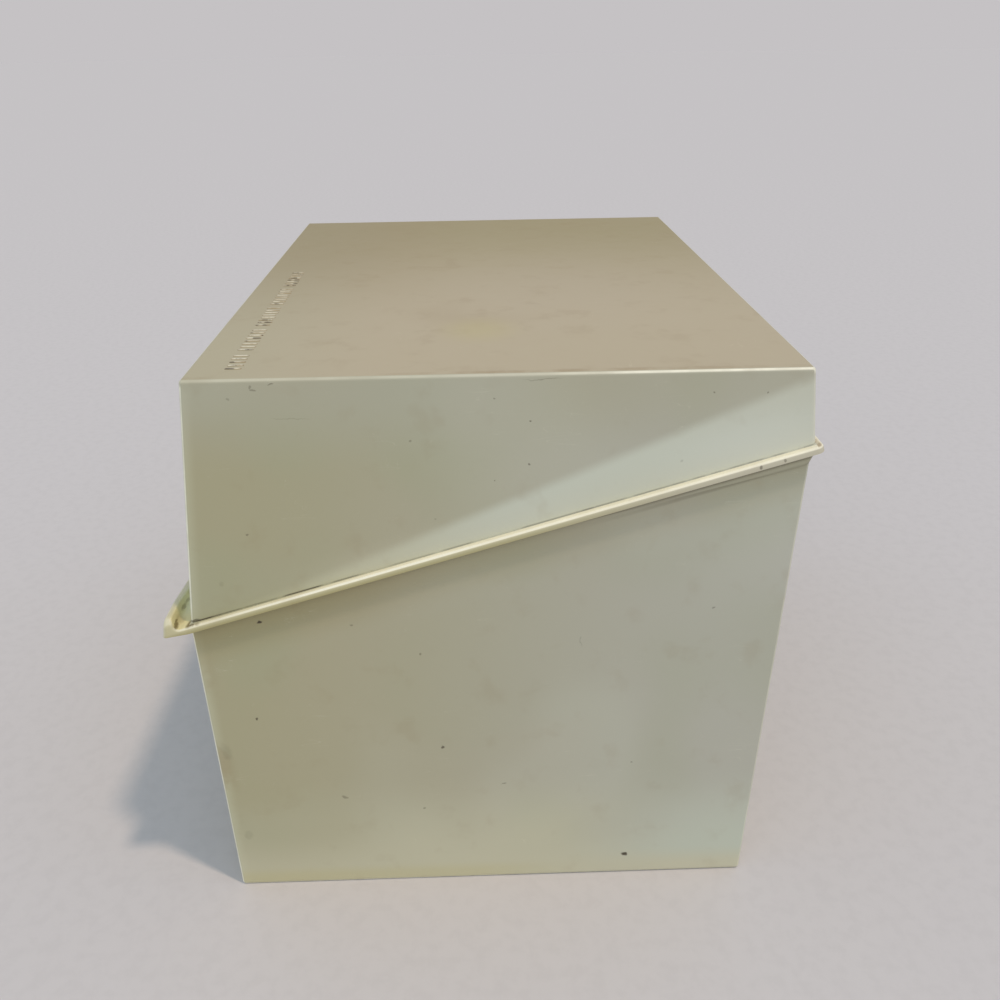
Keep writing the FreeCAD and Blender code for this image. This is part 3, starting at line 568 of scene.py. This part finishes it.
    # A thin film, loose grains that hardly show on the near end, and the marks seen there
    def dirt(self, marks):
        film = self.times(self.outside, self.rise(self.mottle[0], 0.55, 0.75), wear["film"])
        self.layer(film, plastic["stain"], 0.54)
        moved = self.vector("ADD", self.ragged, (31.0, 17.0, 5.0))
        grains = [self.specks(place, cell, wear["speckShare"], size) for place, cell, size
                  in zip((self.ragged, moved), wear["speckCells"], wear["speckSizes"])]
        fainter = self.inverse(self.times(self.nearEnd, wear["specksOffNearEnd"]))
        spots = [self.times(self.most(*grains), self.outside, fainter)]
        for y, z, halfWidth, halfHeight, tilt, strength in marks:
            spot = self.oval(self.ragged, (self.nearX, y, z), (3.0, halfWidth, halfHeight), tilt,
                             wear["markSoftness"])
            spots.append(self.times(spot, strength))
        self.layer(self.times(self.most(*spots), wear["marks"]), plastic["grime"], 0.65)

    # Hairline scratches, an uneven sheen, slow waves and a fine grain
    def surface(self):
        scratches = self.most(self.hairlines((0.03, 0.6, 0.5), (12.0, 8.0, 24.0), wear["scratchWidth"]),
                              self.hairlines((0.5, 0.04, 0.6), (-19.0, 21.0, 5.0), wear["scratchWidth"]))
        scratches = self.times(scratches, self.outside, self.rise(self.mottle[1], 0.55, 0.68))
        self.layer(self.times(scratches, wear["scratches"]), plastic["rubbed"], 0.6)
        self.layer(self.rise(self.mottle[2], 0.4, 0.75, 0.0, 0.5), None, 0.54)
        self.relief((self.clouds(24.0, 0.0), 0.25, 0.5), (self.clouds(0.9, 1.0), 0.012, 0.6))


def lidFinish():
    finish = ShellFinish("lidCream", lidShell)
    finish.ageing()
    finish.lining(1.0)
    finish.paintedLightAndTints()
    finish.handledTop()
    onFlange = finish.flange()
    finish.scoop(onFlange)
    finish.crease()
    # Painted highlight: each edge's brightness follows where it lies, strongest on the front uprights and the
    # top's long edges
    upright = finish.rise(finish.y, -20.0, 20.0, 1.0, 0.3)
    nearTop = finish.rise(finish.y, 2.0, 26.0, 0.22, 0.9)
    along = finish.rise(finish.maths("SUBTRACT", finish.sides[1], finish.sides[0]), 0.0, 0.2, 0.0, 0.8)
    amount = finish.blend(finish.rise(finish.z, 92.8, 93.4), upright, finish.most(nearTop, along))
    frontFlange = finish.times(finish.rise(finish.skinDepth, -0.05, -0.3),
                               finish.rise(finish.y, -30.0, -48.0, 0.0, 0.7))
    finish.rubbedAndHighlightedEdges(amount, finish.most(finish.inScoop, frontFlange))
    finish.dirt(lidShell["marks"])
    finish.surface()
    return finish.done()


def tubFinish():
    finish = ShellFinish("tubCream", tubShell)
    finish.ageing()
    finish.lining(-1.0)
    finish.tubSides()
    # Partly painted highlight: the base's edges are brighter at the front than towards the hinge
    finish.rubbedAndHighlightedEdges(finish.rise(finish.y, -20.0, 20.0, 1.0, 0.35))
    finish.dirt(tubShell["marks"])
    finish.surface()
    return finish.done()


# Drawn steel pins, brown in patches
pinSteel = {
    "color": srgb(172, 170, 166),
    "drawn": srgb(140, 137, 132),
    "tarnish": srgb(112, 92, 74),
    "roughness": 0.32,
    "stretch": (0.15, 9.0, 9.0),
    "drawDepth": 0.006,      # mm
}


def steelFinish():
    finish = Finish("pinSteel", pinSteel["color"], pinSteel["roughness"])
    stretched = finish.add("ShaderNodeMapping", {"Vector": finish.place, "Scale": pinSteel["stretch"]})
    drawn = finish.clouds(1.0, 2.0, stretched.outputs[0])
    finish.layer(finish.rise(drawn, 0.35, 0.7), pinSteel["drawn"], 0.45)
    finish.layer(finish.rise(finish.clouds(2.5, 3.0), 0.6, 0.75, 0.0, 0.6), pinSteel["tarnish"], 0.6)
    finish.relief((drawn, pinSteel["drawDepth"], 0.6))
    finish.shader.inputs["Metallic"].default_value = 1.0
    return finish.done()


lidCream = lidFinish()
tubCream = tubFinish()
steel = steelFinish()
for name, node in nodes.items():
    node.data.materials.clear()
    node.data.materials.append(steel if "pin" in name else lidCream if name == "lid" else tubCream)
print("plastic and steel on the shells and pins")


# A row of small plain ribs moulded along the front of the lid's top
ribRow = {
    "count": 41,             # places along the row
    "gapEvery": 9,           # one place in so many is left empty
    "farX": -5.1,
    "farY": -39.8,
    "pitch": 1.73,
    "drift": 0.006,          # how far each rib lies behind the last
    "length": 2.5,
    "width": 0.6,
    "height": 0.14,
    "sunk": 0.05,
    "topZ": 94.0,            # the lid's top
    "scatterX": 0.06,
    "scatterY": 0.08,
    "lowest": 0.75,          # the least height of a rib, as a share
    "roughness": 0.46,
}


def makeRibRow():
    row = ribRow
    mesh = bmesh.new()
    # Along each rib, how much of its height it has
    stations = [(-0.5, 0.25), (-0.44, 0.75), (-0.32, 1.0), (0.32, 1.0), (0.44, 0.75), (0.5, 0.25)]
    steps = 6
    arc = [math.pi * step / steps for step in range(steps + 1)]
    for index in range(row["count"]):
        if index % row["gapEvery"] == row["gapEvery"] - 1:
            continue
        x = row["farX"] + index * row["pitch"] + random.uniform(-row["scatterX"], row["scatterX"])
        y = row["farY"] + index * row["drift"] + random.uniform(-row["scatterY"], row["scatterY"])
        height = row["height"] * random.uniform(row["lowest"], 1.0)
        rings = []
        for along, full in stations:
            ring = []
            for angle in arc:
                side = math.cos(angle) * row["width"] / 2 * (0.6 + 0.4 * full)
                up = math.sin(angle) * (height * full + row["sunk"]) - row["sunk"]
                ring.append(mesh.verts.new((x + side, y + along * row["length"], row["topZ"] + up)))
            rings.append(ring)
        for first, second in zip(rings, rings[1:]):
            for a in range(steps + 1):
                b = (a + 1) % (steps + 1)
                mesh.faces.new((first[a], first[b], second[b], second[a]))
        mesh.faces.new(rings[0][::-1])
        mesh.faces.new(rings[-1])
    bmesh.ops.recalc_face_normals(mesh, faces=mesh.faces)
    bmesh.ops.scale(mesh, vec=(mm, mm, mm), verts=mesh.verts)
    data = bpy.data.meshes.new("lid_rib_row")
    mesh.to_mesh(data)
    mesh.free()
    for face in data.polygons:
        face.use_smooth = len(face.vertices) == 4
    ribs = bpy.data.objects.new("lid_rib_row", data)
    scene.collection.objects.link(ribs)
    return ribs


# Bright where hands have worn the ribs, with painted shade between them
def ribFinish():
    finish = Finish("ribCream", plastic["topNear"], ribRow["roughness"])
    high = finish.rise(finish.z, ribRow["topZ"] + 0.02, ribRow["topZ"] + 0.11)
    # Painted shade: the ribs' lower sides and the ground between them are darkened
    finish.layer(finish.inverse(high), plastic["stain"], 0.6)
    worn, dirty = finish.clouds(2.4, 3.0, three=True)[:2]
    finish.layer(finish.times(high, finish.rise(worn, 0.35, 0.6), 0.8), plastic["rubbed"], 0.4)
    finish.layer(finish.times(finish.rise(dirty, 0.52, 0.62), 0.75), plastic["grime"], 0.7)
    finish.relief((finish.clouds(0.6), 0.02, 0.6))
    return finish.done()


ribRowPiece = makeRibRow()
ribRowPiece.data.materials.append(ribFinish())
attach(ribRowPiece, "lid")
print("rib row on the lid")


# Seamless pale ground, a soft warm lamp above the hinge side, cooler light all round
studio = {
    "ground": srgb(208, 204, 202),
    "groundGrain": srgb(205, 201, 199),
    "groundRadius": 8.0,     # m
    "groundCorners": 96,
    "backdrop": srgb(197, 194, 196),
    "sky": srgb(223, 238, 255),
    "skyStrength": 0.66,
    "key": {"from": (0.24, 0.319, 1.0), "strength": 1.1, "width": 3.8, "color": (1.0, 0.8, 0.64)},
    "front": {"from": (1.0, -0.12, 0.42), "strength": 0.66, "width": 70.0, "color": (1.0, 0.98, 0.94)},
}


def makeGround():
    finish = Finish("groundPaper", studio["ground"], 0.9)
    finish.layer(finish.rise(finish.clouds(3.0, 3.0), 0.4, 0.7), studio["groundGrain"])
    finish.relief((finish.clouds(1.2), 0.02, 0.3))
    finish.shader.inputs["Specular IOR Level"].default_value = 0.0
    bpy.ops.mesh.primitive_circle_add(vertices=studio["groundCorners"], radius=studio["groundRadius"],
                                      fill_type="NGON")
    ground = bpy.context.object
    ground.name = "ground"
    ground.data.materials.append(finish.done())


# The backdrop is what camera and reflections see; the sky's colour is only its light
def makeSky():
    world = bpy.data.worlds.new("studio")
    scene.world = world
    world.use_nodes = True
    tree = world.node_tree
    light = tree.nodes["Background"]
    light.inputs["Color"].default_value = studio["sky"]
    light.inputs["Strength"].default_value = studio["skyStrength"]
    shown = tree.nodes.new("ShaderNodeBackground")
    shown.inputs["Color"].default_value = studio["backdrop"]
    rays = tree.nodes.new("ShaderNodeLightPath")
    seen = [rays.outputs[kind] for kind in ("Is Camera Ray", "Is Glossy Ray", "Is Transmission Ray")]
    either = seen[0]
    for kind in seen[1:]:
        node = tree.nodes.new("ShaderNodeMath")
        node.operation = "MAXIMUM"
        tree.links.new(either, node.inputs[0])
        tree.links.new(kind, node.inputs[1])
        either = node.outputs[0]
    mixer = tree.nodes.new("ShaderNodeMixShader")
    for socket, value in zip(mixer.inputs, (either, light.outputs[0], shown.outputs[0])):
        tree.links.new(value, socket)
    tree.links.new(mixer.outputs[0], tree.nodes["World Output"].inputs["Surface"])


def makeLamp(name):
    settings = studio[name]
    lamp = bpy.data.lights.new(name + "Lamp", "SUN")
    lamp.energy = settings["strength"]
    lamp.angle = math.radians(settings["width"])
    lamp.color = settings["color"]
    holder = bpy.data.objects.new(name + "Lamp", lamp)
    holder.rotation_euler = Vector(settings["from"]).to_track_quat("Z", "Y").to_euler()
    scene.collection.objects.link(holder)


makeGround()
makeSky()
makeLamp("key")
makeLamp("front")
print("studio ready")


# Where the photo was taken from, in metres, degrees and mm
view = {
    "location": (0.218685, -0.003669, 0.139304),
    "angles": (66.3785, 0.7745, 88.3558),
    "lens": 38.5028,
    "sensor": 36.0,
    "nearest": 0.01,
}


def makeCamera():
    camera = bpy.data.cameras.new("camera")
    camera.lens = view["lens"]
    camera.sensor_width = view["sensor"]
    camera.clip_start = view["nearest"]
    holder = bpy.data.objects.new("camera", camera)
    holder.location = view["location"]
    holder.rotation_euler = [math.radians(angle) for angle in view["angles"]]
    scene.collection.objects.link(holder)
    scene.camera = holder


makeCamera()
scene.view_settings.view_transform = "Standard"
print("camera ready")
